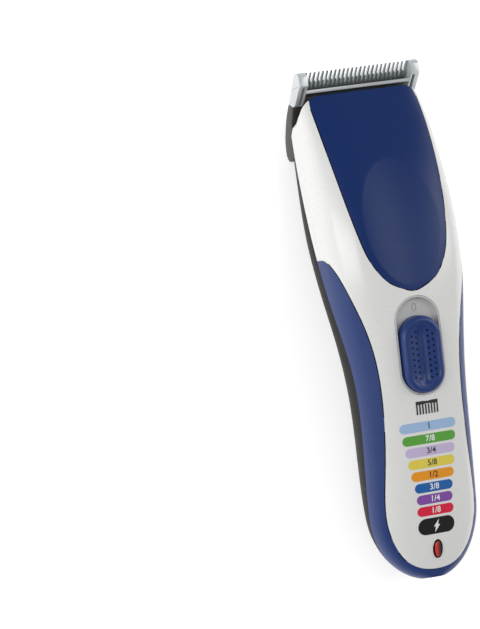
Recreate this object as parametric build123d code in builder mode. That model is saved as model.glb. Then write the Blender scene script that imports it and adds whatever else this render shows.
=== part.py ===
from build123d import *
from math import cos, pi, radians, sin, sqrt
import os

os.makedirs("parts", exist_ok=True)

# Cordless hair clipper, in millimetres. +Y points to the blade, +Z out of the face with the switch, and
# the back rests on Z = 0. Stations along the length are measured from the tail, so that a station
# becomes a Y value through at().

# ---------------------------------------------------------------- driving dimensions
length = 181.6              # tail end to tip guards
wall = 2.6                  # moulded shells
fit_gap = 0.12              # between two mouldings that meet
reach = 60.0                # longer than any cut has to be

# The body is a row of flattened ovals. Each list gives a smooth curve by (station, value).
half_width_curve = [(0, 20.3), (45, 20.3), (60, 20.5), (75, 21.4), (90, 23.4), (105, 25.1),
                    (120, 25.8), (135, 25.5), (150, 24.8), (162, 24.0), (182, 21)]
face_curve = [(0, 17.6), (3, 19.2), (8, 21.2), (14, 23.1), (22, 25.2), (34, 27.8), (50, 30.5),
              (64, 32.9), (80, 35), (96, 36.9), (108, 37.8), (118, 37.7), (130, 36.3), (142, 33.7),
              (154, 29.8), (164, 25.5), (172, 21.3), (182, 15.5)]
back_curve = [(0, 9.2), (2, 6.6), (5, 4.2), (10, 2.0), (18, 0.3), (26, -0.4), (36, 0.1), (50, 1.9),
              (64, 4.4), (78, 6.7), (88, 7.4), (98, 6.6), (110, 4), (122, 1.2), (132, -0.2),
              (142, -0.4), (182, -0.4)]
middle_curve = [(0, 13.8), (14, 13.6), (30, 15.3), (50, 18), (70, 19), (110, 18), (150, 15), (182, 10)]
face_power_curve = [(0, 2.1), (30, 2.2), (70, 2.5), (100, 2.8), (150, 3.45), (182, 4.2)]
back_power_curve = [(0, 2.1), (20, 2.6), (40, 3.0), (182, 3.4)]
tail_radius = 26.0          # plan rounding of the tail
tail_start = 0.6            # how far the round tail is cut off square for the charging inlet

# Height of the joint between the black back cover and the shells above it, by station.
parting_curve = [(-3, 11.0), (10, 11.3), (20, 12.6), (32, 14.6), (48, 17.9), (62, 20.4), (80, 21.5),
                 (96, 20.1), (112, 17.8), (126, 15.2), (142, 11.7), (156, 9.0), (170, 6.5)]
# Half-width of the white face between the blue grips, by station.
face_edge = [(4.1, 6.4), (8, 11.7), (13, 14.6), (20, 16.7), (28, 17.1), (40, 16.2), (55, 15.3),
             (70, 15.4), (80, 16.4), (90, 18.5), (100, 21.4), (108, 23.6), (114, 25.2), (118, 26.6), (120, 29)]
face_edge_start = 3.0
# Half-width of the blue face panel, by station.
panel_edge = [(101.2, 4.4), (104, 9.2), (108, 12.3), (113, 14.7), (120, 16.5), (130, 18.1),
              (142, 19.3), (155, 20.1), (168, 20.3)]
panel_start, panel_end = 100.0, 173.4
panel_corner = 3.2
panel_thickness = 1.8
dish_station, dish_half_width, dish_half_length, dish_depth = 124.5, 14.6, 23.0, 0.6

# Thumb switch, on a plane that lies along the sloping face.
switch_station, switch_slope = 80.75, 7.1
recess_length, recess_width, recess_depth, recess_wall, recess_floor = 33.5, 16.0, 2.2, 0.6, 1.0
button_length, button_width, button_rise = 27.0, 14.9, 2.6
switch_travel = 5.5

# Charging light and inlet, at the tail.
light_station, light_slope = 9.8, 17.0
light_width, light_length, light_depth, bezel_rim = 2.7, 5.8, 2.4, 0.45
inlet_height, inlet_radius, inlet_bore, inlet_depth = 13.9, 2.5, 1.8, 11.0
board_thickness, emitter_height = 0.9, 0.8

# Cutting head. The blade plane slopes down from the tooth tips at 45 degrees.
hinge_station, hinge_height, knuckle_radius = 155.3, 3.3, 3.1
axle_radius, socket_radius = 1.3, 1.35
tip_station, tip_height, blade_slope = 181.0, 20.2, 45.0
blade_half_width, blade_thickness, blade_depth = 19.9, 1.4, 17.6
tooth_pitch, tooth_gap = 1.62, 0.9
fixed_gaps, fixed_tooth_length = 24, 6.6
cutter_half_width, cutter_thickness, cutter_start = 18.3, 1.15, 3.4
cutter_gaps, cutter_tooth_length = 22, 2.6
cutter_end, cutter_neck, cutter_neck_start = 15.6, 9.0, 9.5
cutter_lift = 0.05          # oil film between the two blades
cutter_stroke = 1.2
guard_half_width, wing_inner = 23.3, 20.9
blade_screw_x, blade_screw_depth = 14.5, 14.8

# Motor, tilted down towards the blade. Depths are measured back from the end of the drive pin.
motor_station, motor_height, motor_tilt = 169.0, 14.0, 9.0
can_radius, can_front, can_length, can_wall = 10.5, -27.0, 30.0, 0.8
shaft_radius, bush_radius = 1.0, 3.0
shaft_front = -5.5
eccentric_radius, eccentric_back, pin_back, pin_radius = 3.4, -9.5, -3.5, 0.8

# Power supply.
cell_radius, cell_length, cell_station, cell_height, cell_tilt = 7.1, 50.0, 20.0, 13.6, 3.0

housing_screw_places = [(11.0, 14.0), (17.5, 132.0)]
boss_radius, boss_height = 2.6, 5.0
screw_radius, screw_length, screw_head_radius, screw_head_height = 1.1, 10.0, 2.0, 1.0
screw_seat_depth, screw_play = 1.6, 0.15


# ---------------------------------------------------------------- helpers
def at(station):
    """Y of a station measured from the tail."""
    return station - length / 2


def smooth(curve, station):
    """Value of a smooth curve through (station, value) points."""
    i = max([k for k in range(len(curve) - 1) if curve[k][0] <= station] or [0])

    def slope(k):
        low, high = max(k - 1, 0), min(k + 1, len(curve) - 1)
        return (curve[high][1] - curve[low][1]) / (curve[high][0] - curve[low][0])

    (start, first), (end, last) = curve[i], curve[i + 1]
    span = end - start
    t = (station - start) / span
    return ((2 * t**3 - 3 * t**2 + 1) * first + (t**3 - 2 * t**2 + t) * span * slope(i)
            + (3 * t**2 - 2 * t**3) * last + (t**3 - t**2) * span * slope(i + 1))


def signed_power(value, power):
    return (abs(value) ** power if abs(value) > 1e-9 else 0) * (1 if value >= 0 else -1)


def oval(station, inset, count=24):
    """Points of the body's section at a station, drawn in from the outside by inset."""
    turn = min((station + tail_start) / tail_radius, 1)
    half_width = smooth(half_width_curve, station) * sqrt(1 - (1 - turn) ** 2) - inset
    middle = smooth(middle_curve, station)
    points = []
    for k in range(count):
        angle = 2 * pi * k / count
        upper = sin(angle) >= 0
        power = 2 / smooth(face_power_curve if upper else back_power_curve, station)
        rise = (smooth(face_curve, station) - middle if upper
                else middle - smooth(back_curve, station)) - inset
        points.append((half_width * signed_power(cos(angle), power),
                       middle + rise * signed_power(sin(angle), power)))
    return points


def body_solid(inset, stations):
    """The body's outer form, or the same form drawn in by inset, between two stations."""
    with BuildPart() as solid:
        for station in stations:
            with BuildSketch(Plane.XZ.offset(-at(station))):
                with BuildLine():
                    Spline(*oval(station, inset), periodic=True)
                make_face()
        loft()
        split(bisect_by=Plane.XY.offset(inset), keep=Keep.TOP)
    return solid.part


def side_prism(points, half_width, from_x=0.0):
    """A side outline of (station, height) points, extruded across the body on both sides."""
    with BuildPart() as prism:
        with BuildSketch(Plane.YZ):
            with BuildLine():
                Polyline(*[(at(station), height) for station, height in points], close=True)
            make_face()
        extrude(amount=half_width, both=True)
        if from_x:
            Box(2 * from_x, 4 * length, 4 * reach, mode=Mode.SUBTRACT)
    return prism.part


def plan_prism(start, edge, corners, grow=0.0):
    """A symmetric plan outline, extruded up through the face and grown outwards by grow.

    It runs from the centre line at station start along a smooth edge of (station, half-width) points,
    then by straight lines through (half-width, station) corners back to the centre line.
    """
    points = []
    for station, x in edge:
        sideways = min(x / 15, 1)
        points.append((x + grow * sideways, at(station) - grow * (1 - sideways)))
    with BuildPart() as prism:
        with BuildSketch(Plane.XY.offset(-1)):
            with BuildLine():
                curve = Spline(*[(-x, y) for x, y in reversed(points)], (0, at(start) - grow), *points)
                ends = [(x, at(station)) for x, station in corners]
                Polyline(curve @ 1, *ends, *[(-x, y) for x, y in reversed(ends[:-1])], curve @ 0)
            make_face()
        extrude(amount=reach)
    return prism.part


def racetrack_prism(plane, width, run, low, high):
    with BuildPart() as prism:
        with BuildSketch(plane.offset(low)):
            SlotOverall(run, width, rotation=90)
        extrude(amount=high - low)
    return prism.part


def save(piece, name):
    piece.part.label = name
    export_step(piece.part, f"parts/{name}.step")


def upward(plane):
    """The axis along a plane's normal, to sort faces and edges by."""
    return Axis(plane.origin, plane.z_dir)


def face_plane(station, slope):
    """A plane lying on the face at a station, its X across and its Y along the body."""
    tilt = radians(slope)
    return Plane(origin=(0, at(station), smooth(face_curve, station)), x_dir=(1, 0, 0),
                 z_dir=(0, -sin(tilt), cos(tilt)))


# ---------------------------------------------------------------- shared forms
body_stations = [0, 1.2, 3.5, 7, 12, 19, 28, 40, 54, 68, 82, 96, 110, 124, 138, 152, 164, 176]
inner_stations = [3.5] + body_stations[3:]
nose_stations = [138, 152, 164, 176]

outer = body_solid(0, body_stations)
cavity = body_solid(wall, inner_stations)
skin_floor = body_solid(panel_thickness + 0.05, body_stations[8:])
dish_floor = body_solid(dish_depth, body_stations[8:])

switch_plane = face_plane(switch_station, switch_slope)
light_plane = face_plane(light_station, light_slope)
blade_tilt = radians(blade_slope)
# On the blade plane X runs across, Y runs from the tips towards the heel, and Z rises to the motor side.
blade_plane = Plane(origin=(0, at(tip_station), tip_height), x_dir=(-1, 0, 0),
                    z_dir=(0, -sin(blade_tilt), cos(blade_tilt)))
motor_angle = radians(motor_tilt)
motor_plane = Plane(origin=(0, at(motor_station), motor_height), x_dir=(1, 0, 0),
                    z_dir=(0, cos(motor_angle), -sin(motor_angle)))
cell_angle = radians(cell_tilt)
cell_plane = Plane(origin=(0, at(cell_station), cell_height), x_dir=(1, 0, 0),
                   z_dir=(0, cos(cell_angle), sin(cell_angle)))

# Everything ahead of the shells, where the cutting head sits and swings.
head_space = side_prism([(151.8, -9), (151.8, 4.6), (153.2, 7.1), (160.2, 7.6), (163.4, 10.6),
                         (164.5, 14.0), (167.0, 16.8), (172.6, 20.2), (172.6, 60), (200, 60), (200, -9)], reach)
parting_points = [(at(station), height) for station, height in parting_curve]


def below_parting(drop):
    """Everything below the back cover's joint, less drop."""
    with BuildPart() as region:
        with BuildSketch(Plane.YZ):
            with BuildLine():
                joint = Spline(*[(y, z - drop) for y, z in parting_points])
                Polyline(joint @ 1, (at(170), -20), (at(-3), -20), joint @ 0)
            make_face()
        extrude(amount=reach, both=True)
    return region.part


face_end = face_edge[-1][0]
white_region = plan_prism(face_edge_start, face_edge, [(60, face_end), (60, 200), (0, 200)])
white_gap_region = plan_prism(face_edge_start, face_edge, [(60, face_end - fit_gap), (60, 200), (0, 200)],
                              grow=fit_gap)
panel_side = panel_edge[-1][1]


def panel_prism(grow):
    end = panel_end + grow
    side = panel_side + grow
    return plan_prism(panel_start, panel_edge,
                      [(side - 0.7, end - 1.1), (side - panel_corner, end), (0, end)], grow)


def inlet_hole():
    """The round hole that the charging inlet sits in."""
    with BuildPart() as hole:
        with BuildSketch(Plane.XZ.offset(-at(-1))):
            with Locations((0, inlet_height)):
                Circle(inlet_radius + fit_gap)
        extrude(amount=-2 * inlet_depth)
    return hole.part


# ---------------------------------------------------------------- shells
with BuildPart() as front_housing:
    add(outer)
    add(cavity, mode=Mode.SUBTRACT)
    add(white_region, mode=Mode.INTERSECT)
    add(below_parting(0), mode=Mode.SUBTRACT)
    add(head_space, mode=Mode.SUBTRACT)
    add(panel_prism(0.3) - skin_floor, mode=Mode.SUBTRACT)
    add(racetrack_prism(switch_plane, recess_width + 2 * recess_wall + 2 * fit_gap,
                        recess_length + 2 * recess_wall + 2 * fit_gap, -8, 8), mode=Mode.SUBTRACT)
    with BuildSketch(light_plane.offset(-8)):
        Ellipse(light_width / 2 + bezel_rim + fit_gap, light_length / 2 + bezel_rim + fit_gap)
    extrude(amount=16, mode=Mode.SUBTRACT)
    add(inlet_hole(), mode=Mode.SUBTRACT)
save(front_housing, "front_housing")

with BuildPart() as rear_housing:
    add(outer)
    add(cavity, mode=Mode.SUBTRACT)
    add(white_gap_region, mode=Mode.SUBTRACT)
    add(below_parting(0), mode=Mode.SUBTRACT)
    add(inlet_hole(), mode=Mode.SUBTRACT)
save(rear_housing, "rear_housing")

grip_start, grip_end, grip_pitch, grip_width, grip_depth, grip_count = 38.0, 92.0, 3.0, 0.9, 0.5, 11
grip_floor = body_solid(grip_depth, body_stations[6:14])
with BuildPart() as back_cover:
    add(outer)
    add(cavity, mode=Mode.SUBTRACT)
    add(below_parting(fit_gap), mode=Mode.INTERSECT)
    add(head_space, mode=Mode.SUBTRACT)
    with BuildSketch(Plane.XY.offset(-1)):
        with Locations((0, at((grip_start + grip_end) / 2))):
            with GridLocations(grip_pitch, 1, grip_count, 1):
                SlotOverall(grip_end - grip_start, grip_width, rotation=90)
    grooves = extrude(amount=12, mode=Mode.PRIVATE)
    add(grooves - grip_floor, mode=Mode.SUBTRACT)
    for x, station in housing_screw_places:
        back = smooth(back_curve, station)
        with BuildSketch(Plane.XY.offset(back + wall + 0.6)):
            with Locations((-x, at(station)), (x, at(station))):
                Circle(boss_radius)
        extrude(amount=boss_height)
        with BuildSketch(Plane.XY.offset(-1)):
            with Locations((-x, at(station)), (x, at(station))):
                Circle(screw_radius + screw_play)
        extrude(amount=reach, mode=Mode.SUBTRACT)
        with BuildSketch(Plane.XY.offset(-1)):
            with Locations((-x, at(station)), (x, at(station))):
                Circle(screw_head_radius + screw_play)
        extrude(amount=back + screw_seat_depth + 2 * screw_head_height, mode=Mode.SUBTRACT)
save(back_cover, "back_cover")

with BuildPart() as face_panel:
    add(outer)
    add(skin_floor, mode=Mode.SUBTRACT)
    add(panel_prism(0), mode=Mode.INTERSECT)
    add(head_space, mode=Mode.SUBTRACT)
    with BuildSketch(Plane.XY.offset(20)):
        with Locations((0, at(dish_station))):
            Ellipse(dish_half_width, dish_half_length)
    dish_column = extrude(amount=30, mode=Mode.PRIVATE)
    add(dish_column - dish_floor, mode=Mode.SUBTRACT)
    split(bisect_by=Plane.XY.offset(12), keep=Keep.TOP)
save(face_panel, "face_panel")

# The black frame inside the nose: a sleeve with a sloping web, and two cheeks down to the hinge axle.
nose_inset, nose_wall, tunnel_half_width, cheek_inner, cheek_outer = 2.75, 2.0, 9.0, 15.5, 19.0
nose_profile = [(144, 60), (171.9, 60), (171.9, 16.4), (160.4, 4.9), (144, -9)]
nose_hollow = [(140, 60), (169.5, 60), (169.5, 17.3), (158.5, 6.3), (140, -9)]
nose_outer = body_solid(nose_inset, nose_stations)
nose_inner = body_solid(nose_inset + nose_wall, nose_stations)
with BuildPart() as nose_frame:
    add(nose_outer)
    add(side_prism(nose_profile, reach), mode=Mode.INTERSECT)
    add(nose_inner & side_prism(nose_hollow, reach), mode=Mode.SUBTRACT)
    add(side_prism([(153.9, 3.3), (153.9, 6.4), (152.0, 9.0), (152.0, 12.0), (162, 12.0), (162, 7.5),
                    (156.8, 3.3)], cheek_outer, from_x=cheek_inner))
    with BuildSketch(Plane.YZ):
        with Locations((at(hinge_station), hinge_height)):
            Circle(socket_radius + 0.1)
    extrude(amount=cheek_outer, both=True)
    Box(2 * cheek_inner, 2 * length, 10, mode=Mode.SUBTRACT)
    with BuildSketch(Plane.YZ):
        with Locations((at(hinge_station), hinge_height)):
            Circle(axle_radius)
    extrude(amount=guard_half_width - 1.2, both=True)
    Box(2 * cheek_inner, 2 * length, 10, mode=Mode.SUBTRACT)
    with BuildSketch(Plane.XZ.offset(-at(150))):
        with Locations((0, 10)):
            Rectangle(2 * tunnel_half_width, 30)
    extrude(amount=-40, mode=Mode.SUBTRACT)
save(nose_frame, "nose_frame")

# ---------------------------------------------------------------- thumb switch
slot_width, slot_length, stem_width, stem_length = 4.4, 15.0, 4.0, 6.6
button_centre = -(recess_length - button_length) / 2 + 0.15
with BuildPart() as switch_bezel:
    with BuildSketch(switch_plane.offset(-recess_depth - recess_floor)):
        SlotOverall(recess_length + 2 * recess_wall, recess_width + 2 * recess_wall, rotation=90)
    extrude(amount=recess_depth + recess_floor + 2)
    with BuildSketch(switch_plane.offset(-recess_depth)):
        SlotOverall(recess_length, recess_width, rotation=90)
    extrude(amount=recess_depth + 3, mode=Mode.SUBTRACT)
    with BuildSketch(switch_plane.offset(-8)):
        with Locations((0, button_centre + switch_travel / 2)):
            SlotOverall(slot_length, slot_width, rotation=90)
    extrude(amount=16, mode=Mode.SUBTRACT)
    add(outer, mode=Mode.INTERSECT)
save(switch_bezel, "switch_bezel")

button_dish_width, button_dish_length, button_dish_depth = 11.6, 21.8, 0.7
with BuildPart() as power_switch:
    with BuildSketch(switch_plane.offset(-recess_depth + 0.1)):
        with Locations((0, button_centre)):
            SlotOverall(button_length, button_width, rotation=90)
    extrude(amount=recess_depth - 0.1 + button_rise)
    top = power_switch.faces().sort_by(upward(switch_plane))[-1]
    fillet(top.edges(), radius=1.6)
    with BuildSketch(switch_plane.offset(button_rise - button_dish_depth)):
        with Locations((0, button_centre)):
            SlotOverall(button_dish_length, button_dish_width, rotation=90)
    extrude(amount=5, taper=-35, mode=Mode.SUBTRACT)
    with BuildSketch(switch_plane.offset(button_rise - button_dish_depth)):
        with Locations((0, button_centre)):
            SlotOverall(button_dish_length - 2, 3.4, rotation=90)
    extrude(amount=-0.8, taper=40, mode=Mode.SUBTRACT)
    for side in (-1, 1):
        with BuildSketch(switch_plane.offset(button_rise - button_dish_depth)):
            with Locations((side * 3.6, button_centre)):
                with GridLocations(1.9, 2.1, 2, 8):
                    Circle(0.32)
        extrude(amount=-0.3, mode=Mode.SUBTRACT)
save(power_switch, "power_switch")

with BuildPart() as switch_slider:
    with BuildSketch(switch_plane.offset(-recess_depth - recess_floor - 1.6)):
        with Locations((0, button_centre)):
            Rectangle(stem_width, stem_length)
    extrude(amount=recess_floor + 1.7)
    with BuildSketch(switch_plane.offset(-recess_depth - recess_floor - 1.6)):
        with Locations((0, button_centre)):
            Rectangle(9, 9)
    extrude(amount=1.5)
save(switch_slider, "switch_slider")

contact_top = -recess_depth - recess_floor - 1.9
with BuildPart() as switch_contacts:
    with BuildSketch(switch_plane.offset(contact_top - 3.0)):
        with Locations((0, button_centre + switch_travel / 2)):
            Rectangle(12, 20)
    extrude(amount=3.0)
    with BuildSketch(switch_plane.offset(contact_top)):
        with Locations((0, button_centre + switch_travel / 2)):
            with GridLocations(4, 8, 2, 2):
                Rectangle(1.6, 3)
    extrude(amount=0.2)
save(switch_contacts, "switch_contacts")

# ---------------------------------------------------------------- charging light and inlet
with BuildPart() as light_bezel:
    with BuildSketch(light_plane.offset(-light_depth)):
        Ellipse(light_width / 2 + bezel_rim, light_length / 2 + bezel_rim)
        Ellipse(light_width / 2, light_length / 2, mode=Mode.SUBTRACT)
    extrude(amount=light_depth + 0.3)
    top = light_bezel.faces().sort_by(upward(light_plane))[-1]
    chamfer(top.edges(), length=0.12)
save(light_bezel, "light_bezel")

with BuildPart() as light_lens:
    with BuildSketch(light_plane.offset(-light_depth)):
        Ellipse(light_width / 2 - 0.03, light_length / 2 - 0.03)
    extrude(amount=light_depth + 0.5)
    top = light_lens.faces().sort_by(upward(light_plane))[-1]
    fillet(top.edges(), radius=0.45)
save(light_lens, "light_lens")

charging_board_top = -light_depth - emitter_height - 0.3
with BuildPart() as light_emitter:
    with BuildSketch(light_plane.offset(charging_board_top)):
        Rectangle(2.2, 3.2)
    extrude(amount=emitter_height)
    with BuildSketch(light_plane.offset(charging_board_top + emitter_height)):
        Circle(0.8)
    extrude(amount=0.15)
save(light_emitter, "light_emitter")

with BuildPart() as charging_board:
    with BuildSketch(light_plane.offset(charging_board_top - board_thickness)):
        with Locations((0, 2.4)):
            RectangleRounded(16, 8.4, 1.5)
    extrude(amount=board_thickness)
    add(body_solid(wall + 0.3, inner_stations), mode=Mode.INTERSECT)
save(charging_board, "charging_board")

with BuildPart() as charging_inlet:
    with BuildSketch(Plane.XZ.offset(-at(0))):
        with Locations((0, inlet_height)):
            Circle(inlet_radius)
            Circle(inlet_bore, mode=Mode.SUBTRACT)
    extrude(amount=-inlet_depth)
    with BuildSketch(Plane.XZ.offset(-at(inlet_depth))):
        with Locations((0, inlet_height)):
            Circle(inlet_radius)
    extrude(amount=-1.5)
save(charging_inlet, "charging_inlet")

# ---------------------------------------------------------------- power supply
with BuildPart() as battery_cell:
    with BuildSketch(cell_plane):
        Circle(cell_radius)
    extrude(amount=cell_length)
    fillet(battery_cell.edges(), radius=0.6)
    with BuildSketch(cell_plane.offset(cell_length)):
        Circle(2.6)
    extrude(amount=1.0)
save(battery_cell, "battery_cell")

contact_thickness = 0.4
contact_places = [("battery_contact_minus", -contact_thickness - 0.05),
                  ("battery_contact_plus", cell_length + 1.05)]
for name, start in contact_places:
    with BuildPart() as battery_contact:
        with BuildSketch(cell_plane.offset(start)):
            RectangleRounded(9, 11, 1.2)
            with Locations((0, -6.5)):
                Rectangle(3, 3)
        extrude(amount=contact_thickness)
    save(battery_contact, name)

with BuildPart() as battery_cradle:
    with BuildSketch(cell_plane.offset(2)):
        with Locations((0, 4.2)):
            Rectangle(2 * cell_radius + 3.2, 7)
        Circle(cell_radius + 0.1, mode=Mode.SUBTRACT)
    extrude(amount=cell_length - 4)
    with BuildSketch(cell_plane.offset(12)):
        with Locations((0, 4.2)):
            Rectangle(60, 20)
    extrude(amount=cell_length - 24, mode=Mode.SUBTRACT)
    add(cavity, mode=Mode.INTERSECT)
save(battery_cradle, "battery_cradle")

board_start, board_end, board_height, board_slope = 38.0, 68.0, 22.7, 9.0
board_tilt = radians(board_slope)
board_width = 18.0
board_plane = Plane(origin=(0, at((board_start + board_end) / 2),
                            board_height + (board_end - board_start) / 2 * sin(board_tilt)),
                    x_dir=(1, 0, 0), z_dir=(0, -sin(board_tilt), cos(board_tilt)))
with BuildPart() as circuit_board:
    with BuildSketch(board_plane):
        RectangleRounded(board_width, board_end - board_start, 2)
        with GridLocations(board_width - 4, board_end - board_start - 4, 2, 2):
            Circle(1.1, mode=Mode.SUBTRACT)
    extrude(amount=board_thickness)
save(circuit_board, "circuit_board")

with BuildPart() as board_chips:
    with BuildSketch(board_plane.offset(board_thickness)):
        with Locations((-3, 6)):
            Rectangle(5, 4)
        with Locations((4, -3)):
            Rectangle(4, 4)
        with Locations((-4, -8)):
            Rectangle(3, 2)
    extrude(amount=0.9)
save(board_chips, "board_chips")

# ---------------------------------------------------------------- motor
can_back = can_front - can_length
with BuildPart() as motor_can:
    with BuildSketch(motor_plane.offset(can_back)):
        Circle(can_radius)
    extrude(amount=can_length)
    fillet(motor_can.edges().sort_by(upward(motor_plane))[-1], radius=1.0)
    with BuildSketch(motor_plane.offset(can_back)):
        Circle(can_radius - can_wall)
    extrude(amount=can_length - can_wall, mode=Mode.SUBTRACT)
    with BuildSketch(motor_plane.offset(can_front - 2)):
        Circle(bush_radius)
    extrude(amount=4, mode=Mode.SUBTRACT)
save(motor_can, "motor_can")

with BuildPart() as motor_bush:
    with BuildSketch(motor_plane.offset(can_front - can_wall)):
        Circle(bush_radius)
        Circle(shaft_radius + 0.04, mode=Mode.SUBTRACT)
    extrude(amount=can_wall + 2.0)
save(motor_bush, "motor_bush")

with BuildPart() as motor_end_cap:
    with BuildSketch(motor_plane.offset(can_back - 2.5)):
        Circle(can_radius - 0.1)
    extrude(amount=2.5)
    with BuildSketch(motor_plane.offset(can_back)):
        Circle(can_radius - can_wall - 0.05)
    extrude(amount=2.0)
    with BuildSketch(motor_plane.offset(can_back - 1.5)):
        Circle(shaft_radius + 0.04)
    extrude(amount=8, mode=Mode.SUBTRACT)
save(motor_end_cap, "motor_end_cap")

with BuildPart() as motor_terminals:
    with BuildSketch(motor_plane.offset(can_back - 6.5)):
        with GridLocations(12, 1, 2, 1):
            Rectangle(2.4, 0.5)
    extrude(amount=4.0)
save(motor_terminals, "motor_terminals")

magnet_inner, magnet_outer = 8.2, can_radius - can_wall
with BuildPart() as motor_magnets:
    with BuildSketch(motor_plane.offset(can_back + 4)):
        Circle(magnet_outer)
        Circle(magnet_inner, mode=Mode.SUBTRACT)
        Rectangle(8, 3 * can_radius, mode=Mode.SUBTRACT)
    extrude(amount=22)
save(motor_magnets, "motor_magnets")

with BuildPart() as motor_rotor:
    with BuildSketch(motor_plane.offset(can_back + 5)):
        Circle(7.7)
        with PolarLocations(7.7, 3):
            Rectangle(4.0, 1.4, mode=Mode.SUBTRACT)
        Circle(shaft_radius, mode=Mode.SUBTRACT)
    extrude(amount=20)
save(motor_rotor, "motor_rotor")

with BuildPart() as motor_shaft:
    with BuildSketch(motor_plane.offset(can_back - 1.4)):
        Circle(shaft_radius)
    extrude(amount=shaft_front - can_back + 1.4)
save(motor_shaft, "motor_shaft")

with BuildPart() as eccentric:
    with BuildSketch(motor_plane.offset(eccentric_back)):
        Circle(eccentric_radius)
    extrude(amount=pin_back - eccentric_back)
    with BuildSketch(motor_plane.offset(eccentric_back)):
        Circle(shaft_radius)
    extrude(amount=shaft_front - eccentric_back, mode=Mode.SUBTRACT)
    with BuildSketch(motor_plane.offset(pin_back)):
        with Locations((0, -cutter_stroke)):
            Circle(pin_radius)
    extrude(amount=-pin_back)
save(eccentric, "eccentric")

bracket_width, bracket_height = 34.0, 16.6
with BuildPart() as motor_bracket:
    with BuildSketch(motor_plane.offset(can_front + 0.05)):
        with Locations((0, 1.7)):
            RectangleRounded(bracket_width, bracket_height, 3)
        Circle(bush_radius + 0.05, mode=Mode.SUBTRACT)
    extrude(amount=1.8)
save(motor_bracket, "motor_bracket")

# ---------------------------------------------------------------- cutting head
with BuildPart() as blade_carrier:
    with BuildSketch(Plane.YZ):
        with BuildLine():
            under = Spline((at(155.3), 0.2), (at(160), 1.0), (at(164.6), 3.3), (at(169.4), 6.7),
                           tangents=[(1, 0), (1, 0.95)])
            Polyline(under @ 1, (at(168.35), 7.75), (at(167.0), 8.6), (at(163.2), 5.0), (at(159.5), 2.9),
                     (at(155.3), 1.7), (at(155.3), 0.2))
        make_face()
    extrude(amount=guard_half_width, both=True)
    with BuildSketch(Plane.YZ.offset(wing_inner)):
        with BuildLine():
            under = Spline((at(155.3), 0.2), (at(160), 1.0), (at(164.6), 3.3), (at(171.9), 9.0),
                           tangents=[(1, 0), (1, 0.95)])
            Polyline(under @ 1, (at(170.3), 12.5))
            over = Spline((at(170.3), 12.5), (at(164), 8.7), (at(159), 6.8), (at(155.3), 6.4))
            Line(over @ 1, under @ 0)
        make_face()
        with Locations((at(hinge_station), hinge_height)):
            Circle(knuckle_radius)
    wing = extrude(amount=guard_half_width - wing_inner)
    mirror(wing, about=Plane.YZ)
    with BuildSketch(blade_plane.offset(cutter_lift)):
        for side in (-1, 1):
            with Locations((side * 15.4, 15.7)):
                Rectangle(8.6, 7.4)
    extrude(amount=2.55)
    with BuildSketch(blade_plane.offset(-0.6)):
        with Locations((0, 18.7)):
            Rectangle(39.4, 1.9)
    extrude(amount=3.2)
    with BuildSketch(Plane.YZ):
        with Locations((at(hinge_station), hinge_height)):
            Circle(socket_radius)
    extrude(amount=guard_half_width - 1.1, both=True, mode=Mode.SUBTRACT)
    with BuildSketch(blade_plane.offset(-3)):
        with Locations((-blade_screw_x, blade_screw_depth), (blade_screw_x, blade_screw_depth)):
            Circle(1.3)
    extrude(amount=5.6, mode=Mode.SUBTRACT)
save(blade_carrier, "blade_carrier")

guard_outline = [(181.6, 18.2), (181.3, 20.2), (179.8, 21.6), (176.4, 21.3), (175.6, 20.1), (170.9, 14.6),
                 (170.35, 12.75), (172.0, 9.15), (176.2, 13.0), (180.6, 16.9)]
with BuildPart() as blade_guard:
    with BuildSketch(Plane.YZ.offset(blade_half_width + 0.1)):
        with BuildLine():
            Polyline(*[(at(station), height) for station, height in guard_outline], close=True)
        make_face()
        fillet(vertices().group_by(Axis.X)[-1], radius=0.5)
    extrude(amount=guard_half_width - blade_half_width - 0.1)
    with BuildSketch(Plane.YZ.offset(blade_half_width + 0.8)):
        with BuildLine():
            Polyline((at(176.0), 30), (at(176.0), 13.2), (at(172), 9.4), (at(165), 9.4), (at(165), 30),
                     close=True)
        make_face()
    extrude(amount=1.1, mode=Mode.SUBTRACT)
    with BuildSketch(Plane.YZ.offset(guard_half_width - 0.3)):
        with Locations((at(176.4), 19.0)):
            Rectangle(0.35, 7)
    extrude(amount=1, mode=Mode.SUBTRACT)
    mirror(about=Plane.YZ)
    with BuildSketch(Plane.YZ):
        with BuildLine():
            Polyline((at(174.0), 16.2), (at(174.0), 18.7), (at(175.0), 18.9), (at(175.3), 17.3), close=True)
        make_face()
    extrude(amount=blade_half_width + 0.3, both=True)
save(blade_guard, "blade_guard")


def tooth_row(count, start, tooth_length, low, high):
    """The gaps between teeth, as one solid to cut away; each is a slot with a round root."""
    with BuildPart() as gaps:
        with BuildSketch(blade_plane.offset(low)):
            with Locations((0, start + tooth_length / 2 - 2)):
                with GridLocations(tooth_pitch, 1, count, 1):
                    SlotOverall(tooth_length + 4, tooth_gap, rotation=90)
        extrude(amount=high - low)
    return gaps.part


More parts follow.
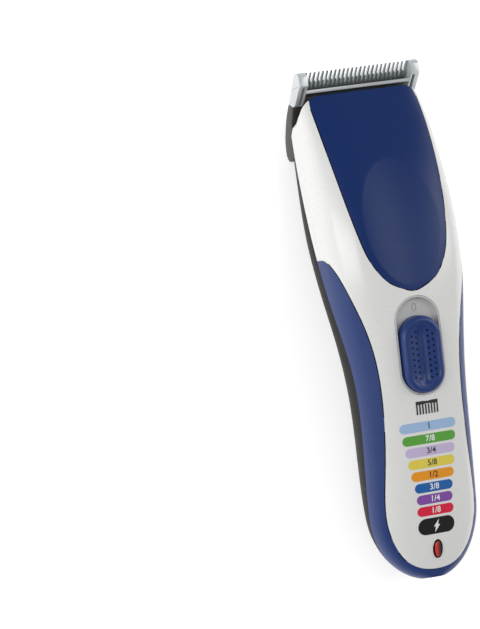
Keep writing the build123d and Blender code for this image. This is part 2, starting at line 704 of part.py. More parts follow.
with BuildPart() as fixed_blade:
    with BuildSketch(blade_plane.offset(-blade_thickness)):
        with Locations((0, blade_depth / 2)):
            Rectangle(2 * blade_half_width, blade_depth)
    extrude(amount=blade_thickness)
    tips = fixed_blade.edges().filter_by(Axis.X).sort_by(Axis.Y)[-2:].sort_by(Axis.Z)[0]
    chamfer(tips, length=1.0, length2=4.2)
    add(tooth_row(fixed_gaps, 0, fixed_tooth_length, -3, 3), mode=Mode.SUBTRACT)
    with BuildSketch(blade_plane.offset(-blade_thickness)):
        with Locations((-blade_screw_x, blade_screw_depth), (blade_screw_x, blade_screw_depth)):
            Circle(2.45)
    extrude(amount=1.15, taper=45, mode=Mode.SUBTRACT)
    with BuildSketch(blade_plane.offset(-3)):
        with Locations((-blade_screw_x, blade_screw_depth), (blade_screw_x, blade_screw_depth)):
            Circle(1.35)
    extrude(amount=6, mode=Mode.SUBTRACT)
save(fixed_blade, "fixed_blade")

with BuildPart() as blade_screws:
    for side in (-1, 1):
        with BuildSketch(blade_plane.offset(-blade_thickness + 0.15)):
            with Locations((side * blade_screw_x, blade_screw_depth)):
                Circle(2.2)
        extrude(amount=1.0, taper=45)
        with BuildSketch(blade_plane.offset(-blade_thickness + 0.15)):
            with Locations((side * blade_screw_x, blade_screw_depth)):
                Circle(1.2)
        extrude(amount=3.6)
        with BuildSketch(blade_plane.offset(-blade_thickness)):
            with Locations((side * blade_screw_x, blade_screw_depth)):
                Rectangle(3.0, 0.6)
                Rectangle(0.6, 3.0)
        extrude(amount=0.7, mode=Mode.SUBTRACT)
save(blade_screws, "blade_screws")

with BuildPart() as moving_cutter:
    with BuildSketch(blade_plane.offset(cutter_lift)):
        with Locations((0, (cutter_start + cutter_neck_start) / 2)):
            Rectangle(2 * cutter_half_width, cutter_neck_start - cutter_start)
        with Locations((0, (cutter_start + cutter_end) / 2)):
            Rectangle(2 * cutter_neck, cutter_end - cutter_start)
    extrude(amount=cutter_thickness)
    add(tooth_row(cutter_gaps, cutter_start, cutter_tooth_length, -3, 3), mode=Mode.SUBTRACT)
save(moving_cutter, "moving_cutter")

# The drive pin's pivot is the one left open: the fork clears the pin wherever pin and cutter are.
follower_half_width, fork_inner = 4.6, pin_radius + 2 * cutter_stroke + 0.15
cutter_top = cutter_lift + cutter_thickness
with BuildPart() as cam_follower:
    with BuildSketch(blade_plane.offset(cutter_top)):
        with Locations((0, 12.8)):
            Rectangle(2 * follower_half_width, 5.2)
    extrude(amount=1.1)
    add(side_prism([(171.6, 12.95), (168.2, 9.55), (166.6, 10.4), (166.6, 17.0), (168.6, 17.6),
                    (171.6, 15.6)], follower_half_width, from_x=fork_inner))
save(cam_follower, "cam_follower")

with BuildPart() as tension_spring:
    with BuildSketch(blade_plane.offset(2.65)):
        with Locations((0, 16.0)):
            Rectangle(27, 6.4)
        with Locations((0, 14.4)):
            Rectangle(12.6, 6.4, mode=Mode.SUBTRACT)
        with Locations((-blade_screw_x, blade_screw_depth), (blade_screw_x, blade_screw_depth)):
            Circle(1.6, mode=Mode.SUBTRACT)
    extrude(amount=0.35)
    for side in (-1, 1):
        with BuildSketch(blade_plane.offset(cutter_top + 0.06)):
            with Locations((side * 7.0, 13.8)):
                Rectangle(1.2, 1.6)
        extrude(amount=2.65 - cutter_top - 0.06)
save(tension_spring, "tension_spring")

# ---------------------------------------------------------------- housing screws
with BuildPart() as housing_screws:
    for x, station in housing_screw_places:
        head_base = smooth(back_curve, station) + screw_seat_depth
        for side in (-1, 1):
            with BuildSketch(Plane.XY.offset(head_base)):
                with Locations((side * x, at(station))):
                    Circle(screw_head_radius)
            extrude(amount=screw_head_height)
            with BuildSketch(Plane.XY.offset(head_base)):
                with Locations((side * x, at(station))):
                    Circle(screw_radius)
            extrude(amount=screw_head_height + screw_length)
            with BuildSketch(Plane.XY.offset(head_base)):
                with Locations((side * x, at(station))):
                    Rectangle(2.8, 0.5)
                    Rectangle(0.5, 2.8)
            extrude(amount=0.6, mode=Mode.SUBTRACT)
save(housing_screws, "housing_screws")
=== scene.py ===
from math import cos, pi, radians, sin

import bmesh
import bpy
import numpy as np
from mathutils import Matrix, Vector
from mathutils.bvhtree import BVHTree


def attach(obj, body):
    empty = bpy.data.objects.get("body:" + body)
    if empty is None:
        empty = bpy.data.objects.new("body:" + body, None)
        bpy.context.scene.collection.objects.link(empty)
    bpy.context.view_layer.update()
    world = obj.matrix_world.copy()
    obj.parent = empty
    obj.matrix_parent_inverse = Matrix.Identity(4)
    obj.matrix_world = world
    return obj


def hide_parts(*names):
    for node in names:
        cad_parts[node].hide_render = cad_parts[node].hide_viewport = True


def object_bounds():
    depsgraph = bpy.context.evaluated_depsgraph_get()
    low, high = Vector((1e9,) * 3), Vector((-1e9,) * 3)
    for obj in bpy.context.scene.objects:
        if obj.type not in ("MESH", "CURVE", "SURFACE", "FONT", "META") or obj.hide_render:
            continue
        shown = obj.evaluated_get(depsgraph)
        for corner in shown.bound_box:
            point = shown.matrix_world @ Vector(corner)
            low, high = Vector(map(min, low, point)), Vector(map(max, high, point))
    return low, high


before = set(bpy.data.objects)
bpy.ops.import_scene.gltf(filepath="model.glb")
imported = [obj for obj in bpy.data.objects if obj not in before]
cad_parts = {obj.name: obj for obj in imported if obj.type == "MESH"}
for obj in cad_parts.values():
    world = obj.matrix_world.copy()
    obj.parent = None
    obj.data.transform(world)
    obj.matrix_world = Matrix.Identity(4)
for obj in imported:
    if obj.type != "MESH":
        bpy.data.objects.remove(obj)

cad_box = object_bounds()
scene = bpy.context.scene
MM = 0.001

# ---------------------------------------------------------------- places on the body, in millimetres
# A station is a distance from the tail. Each curve is a list of (station, value): half the body's width, the
# height of its face, the height where it is widest, and the power of the superellipse between the two.
length = 181.6
half_width_curve = [(90, 23.4), (105, 25.1), (120, 25.8), (135, 25.5), (150, 24.8), (162, 24.0), (182, 21)]
face_curve = [(80, 35), (96, 36.9), (108, 37.8), (118, 37.7), (130, 36.3), (142, 33.7), (154, 29.8),
              (164, 25.5), (172, 21.3), (182, 15.5)]
middle_curve = [(70, 19), (110, 18), (150, 15), (182, 10)]
face_power_curve = [(70, 2.5), (100, 2.8), (150, 3.45), (182, 4.2)]

panel_start, panel_end = 100.0, 172.6
panel_edge = [(101.2, 4.4), (104, 9.2), (108, 12.3), (113, 14.7), (120, 16.5), (130, 18.1), (142, 19.3),
              (155, 20.1), (168, 20.3)]
panel_corner_start, panel_corner_inset = 169.6, 3.3
dish_station, dish_half_width, dish_half_length, dish_depth = 124.5, 14.3, 22.5, 1.25

recess_half_width, recess_end = 10, 99
switch_station, switch_height, switch_slope = 80.75, 35.07, radians(7.1)
button_length, button_width, button_rise, button_foot = 27.0, 14.9, 2.6, -2.1
button_centre = -3.1
lens_half_width = 1.2


def at(station):
    """Y of a station."""
    return station - length / 2


def smooth(curve):
    """A function for the smooth curve through (station, value) points."""
    s, v = np.array(curve, float).T
    before = np.maximum(np.arange(len(s)) - 1, 0)
    after = np.minimum(np.arange(len(s)) + 1, len(s) - 1)
    slope = (v[after] - v[before]) / (s[after] - s[before])

    def value(station):
        i = min(max(int(np.searchsorted(s, station, side="right")) - 1, 0), len(s) - 2)
        span = s[i + 1] - s[i]
        t = (station - s[i]) / span
        return ((2 * t**3 - 3 * t**2 + 1) * v[i] + (t**3 - 2 * t**2 + t) * span * slope[i]
                + (3 * t**2 - 2 * t**3) * v[i + 1] + (t**3 - t**2) * span * slope[i + 1])

    return value


half_width = smooth(half_width_curve)
face_top = smooth(face_curve)
middle = smooth(middle_curve)
face_power = smooth(face_power_curve)
widest_share = 0.999  # keeps the face's height off its vertical end


def face_height(x, station):
    """Height of the face ahead of the switch: a superellipse over the body's middle height."""
    power = face_power(station)
    share = min(abs(x) / half_width(station), widest_share)
    return middle(station) + (face_top(station) - middle(station)) * (1 - share**power) ** (1 / power)


def step(value, low, high):
    """A smooth step from 0 at low to 1 at high."""
    t = min(max((value - low) / (high - low), 0), 1)
    return t * t * (3 - 2 * t)


# ---------------------------------------------------------------- materials
least_rough = 0.02
gloss_patch = 8  # grains across one patch of even gloss


def linear(red, green, blue):
    """Linear colour of an sRGB one given from 0 to 255."""
    def one(value):
        value /= 255
        return value / 12.92 if value <= 0.04045 else ((value + 0.055) / 1.055) ** 2.4
    return (one(red), one(green), one(blue), 1)


def material(name, colour, rough, rough_spread=0.06, tone=0.06, tone_scale=90, grain=2600, grain_height=0.012,
             stretch=(1, 1, 1), metal=0.0, specular=0.5, coat=0.0, coat_rough=0.1, glow=0.0):
    """A material with slightly uneven colour and gloss, and a fine grain.

    The colour is sRGB from 0 to 255, noise scales are per metre and the grain's height is in millimetres.
    """
    colour = linear(*colour)
    look = bpy.data.materials.new(name)
    look.use_nodes = True
    nodes, links = look.node_tree.nodes, look.node_tree.links
    shader = nodes["Principled BSDF"]
    shader.inputs["Metallic"].default_value = metal
    shader.inputs["Coat Weight"].default_value = coat
    shader.inputs["Coat Roughness"].default_value = coat_rough
    shader.inputs["Specular IOR Level"].default_value = specular
    if glow:
        shader.inputs["Emission Color"].default_value = colour
        shader.inputs["Emission Strength"].default_value = glow
    place = nodes.new("ShaderNodeTexCoord")
    mapping = nodes.new("ShaderNodeMapping")
    mapping.inputs["Scale"].default_value = stretch
    links.new(place.outputs["Object"], mapping.inputs["Vector"])

    def noise(scale, detail):
        node = nodes.new("ShaderNodeTexNoise")
        node.inputs["Scale"].default_value = scale
        node.inputs["Detail"].default_value = detail
        links.new(mapping.outputs["Vector"], node.inputs["Vector"])
        return node.outputs["Fac"]

    blend = nodes.new("ShaderNodeMix")
    blend.data_type = "RGBA"
    blend.inputs["A"].default_value = [c * (1 - tone) for c in colour[:3]] + [1]
    blend.inputs["B"].default_value = [min(c * (1 + tone), 1) for c in colour[:3]] + [1]
    links.new(noise(tone_scale, detail=4), blend.inputs["Factor"])
    links.new(blend.outputs["Result"], shader.inputs["Base Color"])
    spread = nodes.new("ShaderNodeMapRange")
    spread.inputs["To Min"].default_value = max(rough - rough_spread, least_rough)
    spread.inputs["To Max"].default_value = rough + rough_spread
    links.new(noise(grain / gloss_patch, detail=3), spread.inputs["Value"])
    links.new(spread.outputs["Result"], shader.inputs["Roughness"])
    bump = nodes.new("ShaderNodeBump")
    bump.inputs["Strength"].default_value = 1.0
    bump.inputs["Distance"].default_value = grain_height * MM
    links.new(noise(grain, detail=2), bump.inputs["Height"])
    links.new(bump.outputs["Normal"], shader.inputs["Normal"])
    return look


def paint_highlight_and_shade_across(look, reach, bright, dark, bright_until=0.30, dark_from=0.72):
    """Paints a highlight and shade into a look: a bright colour at the left that runs into a dark one at the
    right.

    Both lie within reach, in millimetres, to each side of the middle.
    """
    nodes, links = look.node_tree.nodes, look.node_tree.links
    place = next(node for node in nodes if node.type == "TEX_COORD")
    across = nodes.new("ShaderNodeSeparateXYZ")
    position = nodes.new("ShaderNodeMapRange")
    position.inputs["From Min"].default_value = -reach * MM
    position.inputs["From Max"].default_value = reach * MM
    shade = nodes.new("ShaderNodeValToRGB")
    left, right = shade.color_ramp.elements
    left.position, left.color = bright_until, linear(*bright)
    right.position, right.color = dark_from, linear(*dark)
    links.new(place.outputs["Object"], across.inputs["Vector"])
    links.new(across.outputs["X"], position.inputs["Value"])
    links.new(position.outputs["Result"], shade.inputs["Fac"])
    links.new(shade.outputs["Color"], nodes["Principled BSDF"].inputs["Base Color"])


looks = {}


def keep_look(name, colour, rough, **finish):
    """Makes a look and keeps it by its name."""
    looks[name] = material(name, colour, rough, **finish)


brushed = {"stretch": (1, 12, 12), "grain": 900, "grain_height": 0.003}
keep_look("pearl_white", (234, 234, 232), 0.28, rough_spread=0.02, tone=0.012, grain=5000, grain_height=0.001,
          coat=0.35, coat_rough=0.16)
keep_look("navy_blue", (8, 43, 103), 0.36, specular=0.3, grain=3500, grain_height=0.006)
keep_look("grip_blue", (28, 55, 116), 0.36, specular=0.42, grain=3200, grain_height=0.010)
keep_look("black_plastic", (9, 9, 9), 0.42, specular=0.15)
keep_look("recess_grey", (200, 200, 199), 0.42, tone=0.02)
keep_look("carrier_grey", (60, 60, 58), 0.45)
keep_look("guard_silver", (205, 210, 212), 0.30, metal=0.3, coat=0.3)
keep_look("blade_steel", (205, 209, 210), 0.26, metal=0.75, **brushed)
keep_look("cutter_steel", (120, 125, 128), 0.34, metal=0.6, **brushed)
keep_look("spring_steel", (150, 152, 155), 0.28, metal=1.0)
keep_look("screw_steel", (150, 152, 155), 0.30, metal=1.0)
keep_look("motor_steel", (160, 162, 165), 0.34, metal=1.0)
keep_look("bush_brass", (190, 155, 90), 0.32, metal=1.0)
keep_look("follower_plastic", (38, 38, 40), 0.5)
keep_look("light_red", (205, 30, 25), 0.12, coat=1.0, coat_rough=0.04)
keep_look("emitter_white", (235, 235, 225), 0.4)
keep_look("board_green", (30, 90, 55), 0.4)
keep_look("chip_black", (30, 30, 30), 0.5)
keep_look("cell_wrap", (60, 120, 90), 0.3)
keep_look("magnet_grey", (70, 70, 72), 0.5)
keep_look("inlet_black", (25, 25, 25), 0.4)
# The red lens gets a painted highlight at its left that runs into painted shade at its right.
paint_highlight_and_shade_across(looks["light_red"], lens_half_width, bright=(222, 38, 26), dark=(40, 4, 8))

# ---------------------------------------------------------------- edges and looks of the CAD nodes
weld_distance = 1e-6  # metres
edge_rounding = {"blade_guard": 0.35, "blade_carrier": 0.3, "fixed_blade": 0.08, "moving_cutter": 0.08,
                 "blade_screws": 0.1, "nose_frame": 0.2, "cam_follower": 0.2, "switch_bezel": 0.12,
                 "housing_screws": 0.15}


def split_edges(obj, degrees):
    """Keeps the edges that turn by more than an angle sharp on a smooth mesh."""
    split = obj.modifiers.new("split", "EDGE_SPLIT")
    split.split_angle = radians(degrees)


def round_edges(obj, width):
    """Rounds a CAD node's sharp edges to a width in millimetres."""
    bevel = obj.modifiers.new("bevel", "BEVEL")
    bevel.limit_method = "ANGLE"
    bevel.angle_limit = radians(32)
    bevel.width = width * MM
    bevel.segments = 3
    bevel.use_clamp_overlap = True
    bevel.harden_normals = False


for name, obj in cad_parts.items():
    for slot in obj.material_slots:
        base = slot.material.name.split(".")[0] if slot.material else ""
        if base in looks:
            slot.material = looks["cutter_steel" if name == "moving_cutter" else base]
    for polygon in obj.data.polygons:
        polygon.use_smooth = True
    weld = obj.modifiers.new("weld", "WELD")
    weld.merge_threshold = weld_distance
    if name in edge_rounding:
        round_edges(obj, edge_rounding[name])
    split_edges(obj, degrees=33)


# ---------------------------------------------------------------- meshes
def piece(name, vertices, faces, look, body="housing"):
    """A smooth mesh object that rides on a body."""
    mesh = bpy.data.meshes.new(name)
    mesh.from_pydata(vertices, [], faces)
    mesh.materials.append(look)
    for polygon in mesh.polygons:
        polygon.use_smooth = True
    obj = bpy.data.objects.new(name, mesh)
    scene.collection.objects.link(obj)
    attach(obj, body)
    return obj


def grid(rows, columns):
    """Quads between rows + 1 rows of columns + 1 vertices."""
    stride = columns + 1
    return [(i * stride + j, i * stride + j + 1, (i + 1) * stride + j + 1, (i + 1) * stride + j)
            for i in range(rows) for j in range(columns)]


def band(ring, next_ring):
    """Quads between two closed rings of vertex numbers."""
    count = len(ring)
    return [(ring[k], ring[(k + 1) % count], next_ring[(k + 1) % count], next_ring[k]) for k in range(count)]


def fan(first, count):
    """Triangles round a middle vertex whose rim comes straight after it."""
    return [(first, first + 1 + k, first + 1 + (k + 1) % count) for k in range(count)]


# ---------------------------------------------------------------- printing on the face
bar_height, number_size, number_boldness = 3.3, 2.9, 0.035
bar_lift, ink_lift, mark_lift = 0.06, 0.10, 0.05
bar_rows, bar_columns = 12, 32
above_all = 0.1


def skin_of(name):
    """A tree of a CAD node's triangles, to lay printing on."""
    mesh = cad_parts[name].data
    corners = [vertex.co.copy() for vertex in mesh.vertices]
    return BVHTree.FromPolygons(corners, [list(polygon.vertices) for polygon in mesh.polygons])


def on_skin(skin, x, station, lift):
    """The point of a skin straight below x and a station, lifted along its normal, in metres."""
    place, normal, _, _ = skin.ray_cast(Vector((x * MM, at(station) * MM, above_all)), Vector((0, 0, -1)))
    return place + normal * lift * MM


def ink(name, colour):
    return material("ink_" + name, colour, 0.32, tone=0.03, tone_scale=400, grain=6000, grain_height=0.002)


def printed_bar(name, skin, station, half_length, height, look):
    """A bar with round ends, printed across the face."""
    radius = height / 2
    vertices = []
    for i in range(bar_rows + 1):
        angle = pi * (i / bar_rows - 0.5)
        reach = half_length - radius + radius * cos(angle)
        for j in range(bar_columns + 1):
            x = reach * (2 * j / bar_columns - 1)
            vertices.append(on_skin(skin, x, station + radius * sin(angle), bar_lift))
    piece(name, vertices, grid(bar_rows, bar_columns), look)


def printed_shape(name, skin, outlines, look):
    """Flat convex outlines of (x, station), laid on the face as fans around their middles."""
    vertices, faces = [], []
    for outline in outlines:
        faces.extend(fan(len(vertices), len(outline)))
        centre = [sum(point[k] for point in outline) / len(outline) for k in (0, 1)]
        vertices.append(on_skin(skin, centre[0], centre[1], ink_lift))
        vertices.extend(on_skin(skin, x, station, ink_lift) for x, station in outline)
    piece(name, vertices, faces, look)


def printed_number(name, skin, text, station, size, look, lift=ink_lift):
    """A number, printed on the face around x = 0."""
    curve = bpy.data.curves.new(name, "FONT")
    curve.body = text
    curve.size = size
    curve.align_x, curve.align_y = "CENTER", "CENTER"
    curve.offset = number_boldness
    source = bpy.data.objects.new(name + "_outline", curve)
    scene.collection.objects.link(source)
    mesh = bpy.data.meshes.new_from_object(source.evaluated_get(bpy.context.evaluated_depsgraph_get()))
    bpy.data.objects.remove(source)
    vertices = [on_skin(skin, vertex.co.x, station + vertex.co.y, lift) for vertex in mesh.vertices]
    piece(name, vertices, [list(polygon.vertices) for polygon in mesh.polygons], look)


def rectangle(left, right, low, high):
    return [(left, low), (right, low), (right, high), (left, high)]


dark_ink = ink("dark", (45, 45, 48))
white_ink = ink("white", (245, 245, 245))
skin = skin_of("front_housing")

# Name, colour, station, half-length, number and the number's ink.
bars = [("light_blue", (163, 192, 228), 52.8, 10.8, "1", dark_ink),
        ("green", (92, 168, 62), 48.4, 10.2, "7/8", white_ink),
        ("lilac", (203, 188, 222), 44.2, 9.5, "3/4", dark_ink),
        ("yellow", (232, 212, 84), 40.0, 8.9, "5/8", dark_ink),
        ("orange", (240, 155, 25), 35.8, 8.2, "1/2", dark_ink),
        ("blue", (25, 98, 172), 31.6, 7.3, "3/8", white_ink),
        ("purple", (134, 78, 168), 27.5, 6.9, "1/4", white_ink),
        ("red", (224, 28, 66), 23.4, 7.0, "1/8", white_ink)]
for name, colour, station, half_length, number, number_ink in bars:
    printed_bar("bar_" + name, skin, station, half_length, bar_height, ink(name, colour))
    printed_number("number_" + name, skin, number, station, number_size, number_ink)

# A black pill with a charging bolt on it.
printed_bar("bar_black", skin, station=18.0, half_length=7.0, height=5.7, look=ink("black", (12, 12, 12)))
bolt = [[(0.9, 20.3), (-1.2, 17.7), (0.2, 17.7)],
        [(0.2, 18.3), (-0.3, 18.3), (-0.9, 15.7), (1.2, 18.3)]]
printed_shape("symbol_charge", skin, bolt, white_ink)

# A comb, with its teeth pointing to the tail.
spine_half_length, spine_low, spine_high = 4.2, 60.4, 61.6
tooth_half_width, tooth_tip, last_tooth, tooth_count = 0.28, 57.0, 3.9, 8
comb = [rectangle(-spine_half_length, spine_half_length, spine_low, spine_high)]
for x in np.linspace(-last_tooth, last_tooth, tooth_count):
    comb.append(rectangle(x - tooth_half_width, x + tooth_half_width, tooth_tip, spine_low))
printed_shape("symbol_comb", skin, comb, dark_ink)

printed_number("number_off", skin_of("switch_bezel"), "0", station=94.0, size=4.2, lift=mark_lift,
               look=material("recess_mark", (168, 168, 168), 0.5, tone=0.02))

# ---------------------------------------------------------------- painted shadow: dark lines in the seams of the face
seam_width, seam_lap, seam_lift = 0.30, 0.06, 0.02
seam_end = 168
side_margin = 0.1
clearance = 0.05
least_turn = radians(18)
least_slope = 0.01  # a wall stands upright if its normal rises or falls by no more than this


def seam_strips(node):
    """Strips of painted shadow along a CAD node's outer edges where its wall stands upright, between it and
    its neighbour.
    """
    work = bmesh.new()
    work.from_mesh(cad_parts[node].data)
    bmesh.ops.remove_doubles(work, verts=work.verts, dist=weld_distance)
    tree = BVHTree.FromBMesh(work)
    vertices, faces = [], []
    for edge in work.edges:
        if len(edge.link_faces) != 2 or edge.calc_face_angle() < least_turn:
            continue
        wall, top = sorted(edge.link_faces, key=lambda side: abs(side.normal.z))
        start, end = edge.verts[0].co, edge.verts[1].co
        centre = (start + end) / 2
        station = centre.y / MM + length / 2
        in_recess = abs(centre.x) < recess_half_width * MM and station < recess_end
        if abs(wall.normal.z) > least_slope or in_recess or station > seam_end:
            continue
        outward = (wall.normal + top.normal).normalized()
        if tree.ray_cast(centre + outward * clearance * MM, outward)[0]:
            continue  # an inner edge, with another wall of the node outside it
        rise = top.normal * seam_lift * MM
        across = (wall.normal - top.normal * wall.normal.dot(top.normal)).normalized()
        reaches = (start, -seam_lap), (end, -seam_lap), (end, seam_width), (start, seam_width)
        corners = [point + across * reach * MM + rise for point, reach in reaches]
        if max(abs(corner.x) for corner in corners) > cad_box[1].x - side_margin * MM:
            continue
        first = len(vertices)
        vertices.extend(corners)
        faces_out = (end - start).cross(across).dot(rise) > 0
        faces.append([first + k for k in ((0, 1, 2, 3) if faces_out else (3, 2, 1, 0))])
    work.free()
    return vertices, faces


# Dark strips of painted shadow, laid just over the seams.
strip_vertices, strip_faces = seam_strips("front_housing")
piece("painted_seam_shadow", strip_vertices, strip_faces, material("seam_shadow", (8, 9, 18), 0.7, specular=0.05))

# ---------------------------------------------------------------- thumb button
button_radius = button_width / 2
button_straight = (button_length - button_width) / 2
switch_origin = Vector((0, at(switch_station), switch_height))
switch_along = Vector((0, cos(switch_slope), sin(switch_slope)))
switch_out = Vector((0, -sin(switch_slope), cos(switch_slope)))

# Inside a rounded edge, the top steps down, sinks to a bowl and has a trough along its middle. Each of these
# has its depth, and the distances in from the edge between which it goes from nothing to all of it.
rounding, rounding_share = 1.7, 0.9
step_depth, step_inside = 0.5, (1.55, 2.5)
bowl_depth, bowl_inside = 0.55, (2.0, 7.0)
trough_depth, trough_inside, trough_half_width = 0.85, (2.4, 4.6), 2.3

# The top's rings, by their distance in from the edge: close at the rim and wider over the bowl.
around, middle_gap = 144, 0.01
insets = [0, 0.06, 0.16, 0.32, 0.55, 0.85, 1.2, 1.5, 1.6, 1.75, 1.9, 2.1, 2.3, 2.5, 2.8, 3.1]
insets += [3.4 + 0.4 * k for k in range(10)]
insets.append(button_radius - middle_gap)
side_spread = 6  # a ring's points spread along the straight sides where their sine is below 1 / 6


def button_height(x, y):
    """Height of the button's top above the switch plane, from its own middle."""
    beyond = max(abs(y) - button_straight, 0)
    inside = button_radius - (x * x + beyond * beyond) ** 0.5
    edge = min(max(1 - inside / rounding, 0), 1)
    height = button_rise - rounding * (1 - (1 - edge**2) ** 0.5) * rounding_share
    height -= step_depth * step(inside, *step_inside)
    height -= bowl_depth * step(inside, *bowl_inside)
    trough = (1 - step(abs(x), 0.0, trough_half_width)) * step(inside, *trough_inside)
    return height - trough_depth * trough


def on_button(x, y, lift=0.0):
    """The point of the button's top at x and y from its middle, in metres."""
    return (switch_origin + Vector((x, 0, 0)) + switch_along * (button_centre + y)
            + switch_out * (button_height(x, y) + lift)) * MM


button_vertices, button_faces = [], []
for inset in insets:
    for k in range(around):
        angle = 2 * pi * k / around
        end = button_straight if sin(angle) > 0 else -button_straight
        x = (button_radius - inset) * cos(angle)
        y = (button_radius - inset) * sin(angle) + end * min(abs(sin(angle)) * side_spread, 1)
        button_vertices.append(on_button(x, y))
rings = [range(i * around, (i + 1) * around) for i in range(len(insets))]
for ring, next_ring in zip(rings, rings[1:]):
    button_faces.extend(band(ring, next_ring))
foot_ring = range(len(button_vertices), len(button_vertices) + around)
foot = (switch_origin + switch_out * button_foot) * MM
for k in rings[0]:
    rim_point = button_vertices[k]
    button_vertices.append(rim_point - switch_out * (rim_point - foot).dot(switch_out))
button_faces.extend(band(foot_ring, rings[0]))
button = piece("thumb_button", button_vertices, button_faces, looks["grip_blue"], body="switch")
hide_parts("power_switch")
split_edges(button, degrees=70)

# Dots of painted shadow in two columns on each side of the trough: x, shift along the button and rows.
dot_columns = ((2.2, 0.0, 9), (4.0, 0.6, 8))
dot_pitch, dot_radius, dot_corners, middle_row = 2.05, 0.4, 12, 4
dot_middle_lift, dot_rim_lift = -0.01, 0.025
dot_vertices, dot_faces = [], []
for side in (-1, 1):
    for column, shift, rows in dot_columns:
        for row in range(rows):
            y = (row - middle_row) * dot_pitch + shift
            dot_faces.extend(fan(len(dot_vertices), dot_corners))
            dot_vertices.append(on_button(side * column, y, dot_middle_lift))
            for angle in np.linspace(0, 2 * pi, dot_corners, endpoint=False):
                dot_vertices.append(on_button(side * column + dot_radius * cos(angle),
                                              y + dot_radius * sin(angle), dot_rim_lift))
piece("button_dots", dot_vertices, dot_faces, material("dot_shadow", (6, 8, 30), 0.6, specular=0.05),
      body="switch")

# ---------------------------------------------------------------- face panel with its thumb dish
row_gap = 0.45
first_row, first_gap, gap_growth, close_rows = 0.02, 0.05, 1.25, 12
panel_columns, outline_points = 96, 400
bunching = 0.35  # how far the columns crowd towards the panel's sides
lip_drops = (0.10, 0.28, 1.5)


def outline_table(start, edge):
    """Stations and half-widths, close together, along an outline with a round end at the start."""
    points = [(-x, y) for y, x in reversed(edge)] + [(0, start)] + [(x, y) for y, x in edge]
    run = [0.0]
    for (x0, y0), (x1, y1) in zip(points, points[1:]):
        run.append(run[-1] + ((x1 - x0) ** 2 + (y1 - y0) ** 2) ** 0.5)
    across = smooth([(t, x) for t, (x, y) in zip(run, points)])
    along = smooth([(t, y) for t, (x, y) in zip(run, points)])
    half = np.linspace(run[len(edge)], run[-1], outline_points)
    return [along(t) for t in half], [across(t) for t in half]


panel_stations, panel_widths = outline_table(panel_start, panel_edge)


def panel_half_width(station):
    """Half the panel's width, with its far corners rounded."""
    width = float(np.interp(station, panel_stations, panel_widths))
    corner = min(max((station - panel_corner_start) / (panel_end - panel_corner_start), 0), 1)
    return width - panel_corner_inset * (1 - (1 - corner**2) ** 0.5)


def dished(x, station):
    """Depth of the thumb dish."""
    away = (x / dish_half_width) ** 2 + ((station - dish_station) / dish_half_length) ** 2
    return dish_depth * max(1 - away, 0)


# Rows lie close together at the round end of the panel.
panel_rows = [panel_start + first_gap * gap_growth**k for k in range(close_rows)]
panel_rows += list(np.arange(panel_rows[-1] + row_gap, panel_end, row_gap)) + [panel_end]
panel_rows[0] = panel_start + first_row
panel_vertices = []
for station in panel_rows:
    width = panel_half_width(station)
    for j in range(panel_columns + 1):
        share = 2 * j / panel_columns - 1
        x = width * sin(pi / 2 * share) * bunching + width * share * (1 - bunching)
        height = face_height(x, station) - dished(x, station)
        panel_vertices.append(Vector((x, at(station), height)) * MM)
last_row, stride = len(panel_rows) - 1, panel_columns + 1
panel_faces = grid(last_row, panel_columns)

# The lip goes down from the rim in three rings.
rim = list(range(stride))
rim += [i * stride + panel_columns for i in range(1, last_row + 1)]
rim += [last_row * stride + j for j in range(panel_columns - 1, -1, -1)]
rim += [i * stride for i in range(last_row - 1, 0, -1)]
upper = rim
for drop in lip_drops:
    lower = range(len(panel_vertices), len(panel_vertices) + len(rim))
    panel_vertices.extend([panel_vertices[index] - Vector((0, 0, drop * MM)) for index in rim])
    panel_faces.extend(band(lower, upper))
    upper = lower
panel = piece("panel_skin", panel_vertices, panel_faces, looks["navy_blue"])
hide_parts("face_panel")
split_edges(panel, degrees=60)

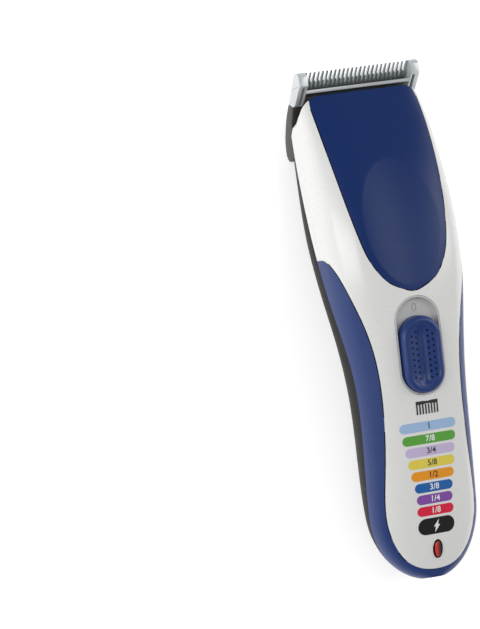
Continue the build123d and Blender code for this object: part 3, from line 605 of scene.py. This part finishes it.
# ---------------------------------------------------------------- stage and light
bpy.ops.mesh.primitive_plane_add(size=4)
floor = bpy.context.object
floor.name = "floor"
floor.data.materials.append(material("floor_paper", (252, 252, 252), 0.9, tone=0.01, grain=400,
                                     grain_height=0.02, glow=0.55))

world = bpy.data.worlds.new("studio")
scene.world = world
world.use_nodes = True
world.node_tree.nodes["Background"].inputs["Color"].default_value = (1, 1, 1, 1)
world.node_tree.nodes["Background"].inputs["Strength"].default_value = 0.35
scene.view_settings.view_transform = "Standard"


def area_light(name, place, size, power):
    """A rectangular lamp that points at the frame's origin."""
    data = bpy.data.lights.new(name, "AREA")
    data.shape = "RECTANGLE"
    data.size, data.size_y = size
    data.energy = power
    lamp = bpy.data.objects.new(name, data)
    scene.collection.objects.link(lamp)
    lamp.location = place
    lamp.rotation_euler = (-Vector(place)).to_track_quat("-Z", "Y").to_euler()


area_light("right_softbox", place=(1.0, 0.25, 0.85), size=(0.6, 1.3), power=7)
area_light("left_softbox", place=(-1.05, 0.1, 0.65), size=(0.4, 1.3), power=7)

# ---------------------------------------------------------------- camera
# The camera looks straight down at turn and rise zero. Distances are in metres from the frame's origin.
turn, rise, roll = radians(21.98), radians(1.72), radians(-9.26)
distance, off_right, off_up = 1.2496, 0.0482, -0.0038
focal_length, sensor_width = 263.3, 36
ahead = Vector((sin(turn) * cos(rise), sin(rise), -cos(turn) * cos(rise)))
right = ahead.cross(Vector((0, 1, 0))).normalized()
up = right.cross(ahead)
right, up = right * cos(roll) + up * sin(roll), up * cos(roll) - right * sin(roll)
place = -(right * off_right + up * off_up + ahead * distance)
camera_data = bpy.data.cameras.new("camera")
camera_data.sensor_fit = "HORIZONTAL"
camera_data.sensor_width = sensor_width
camera_data.lens = focal_length
camera_data.clip_end = 20
camera = bpy.data.objects.new("camera", camera_data)
scene.collection.objects.link(camera)
camera.matrix_world = Matrix(((right.x, up.x, -ahead.x, place.x),
                              (right.y, up.y, -ahead.y, place.y),
                              (right.z, up.z, -ahead.z, place.z),
                              (0, 0, 0, 1)))
scene.camera = camera
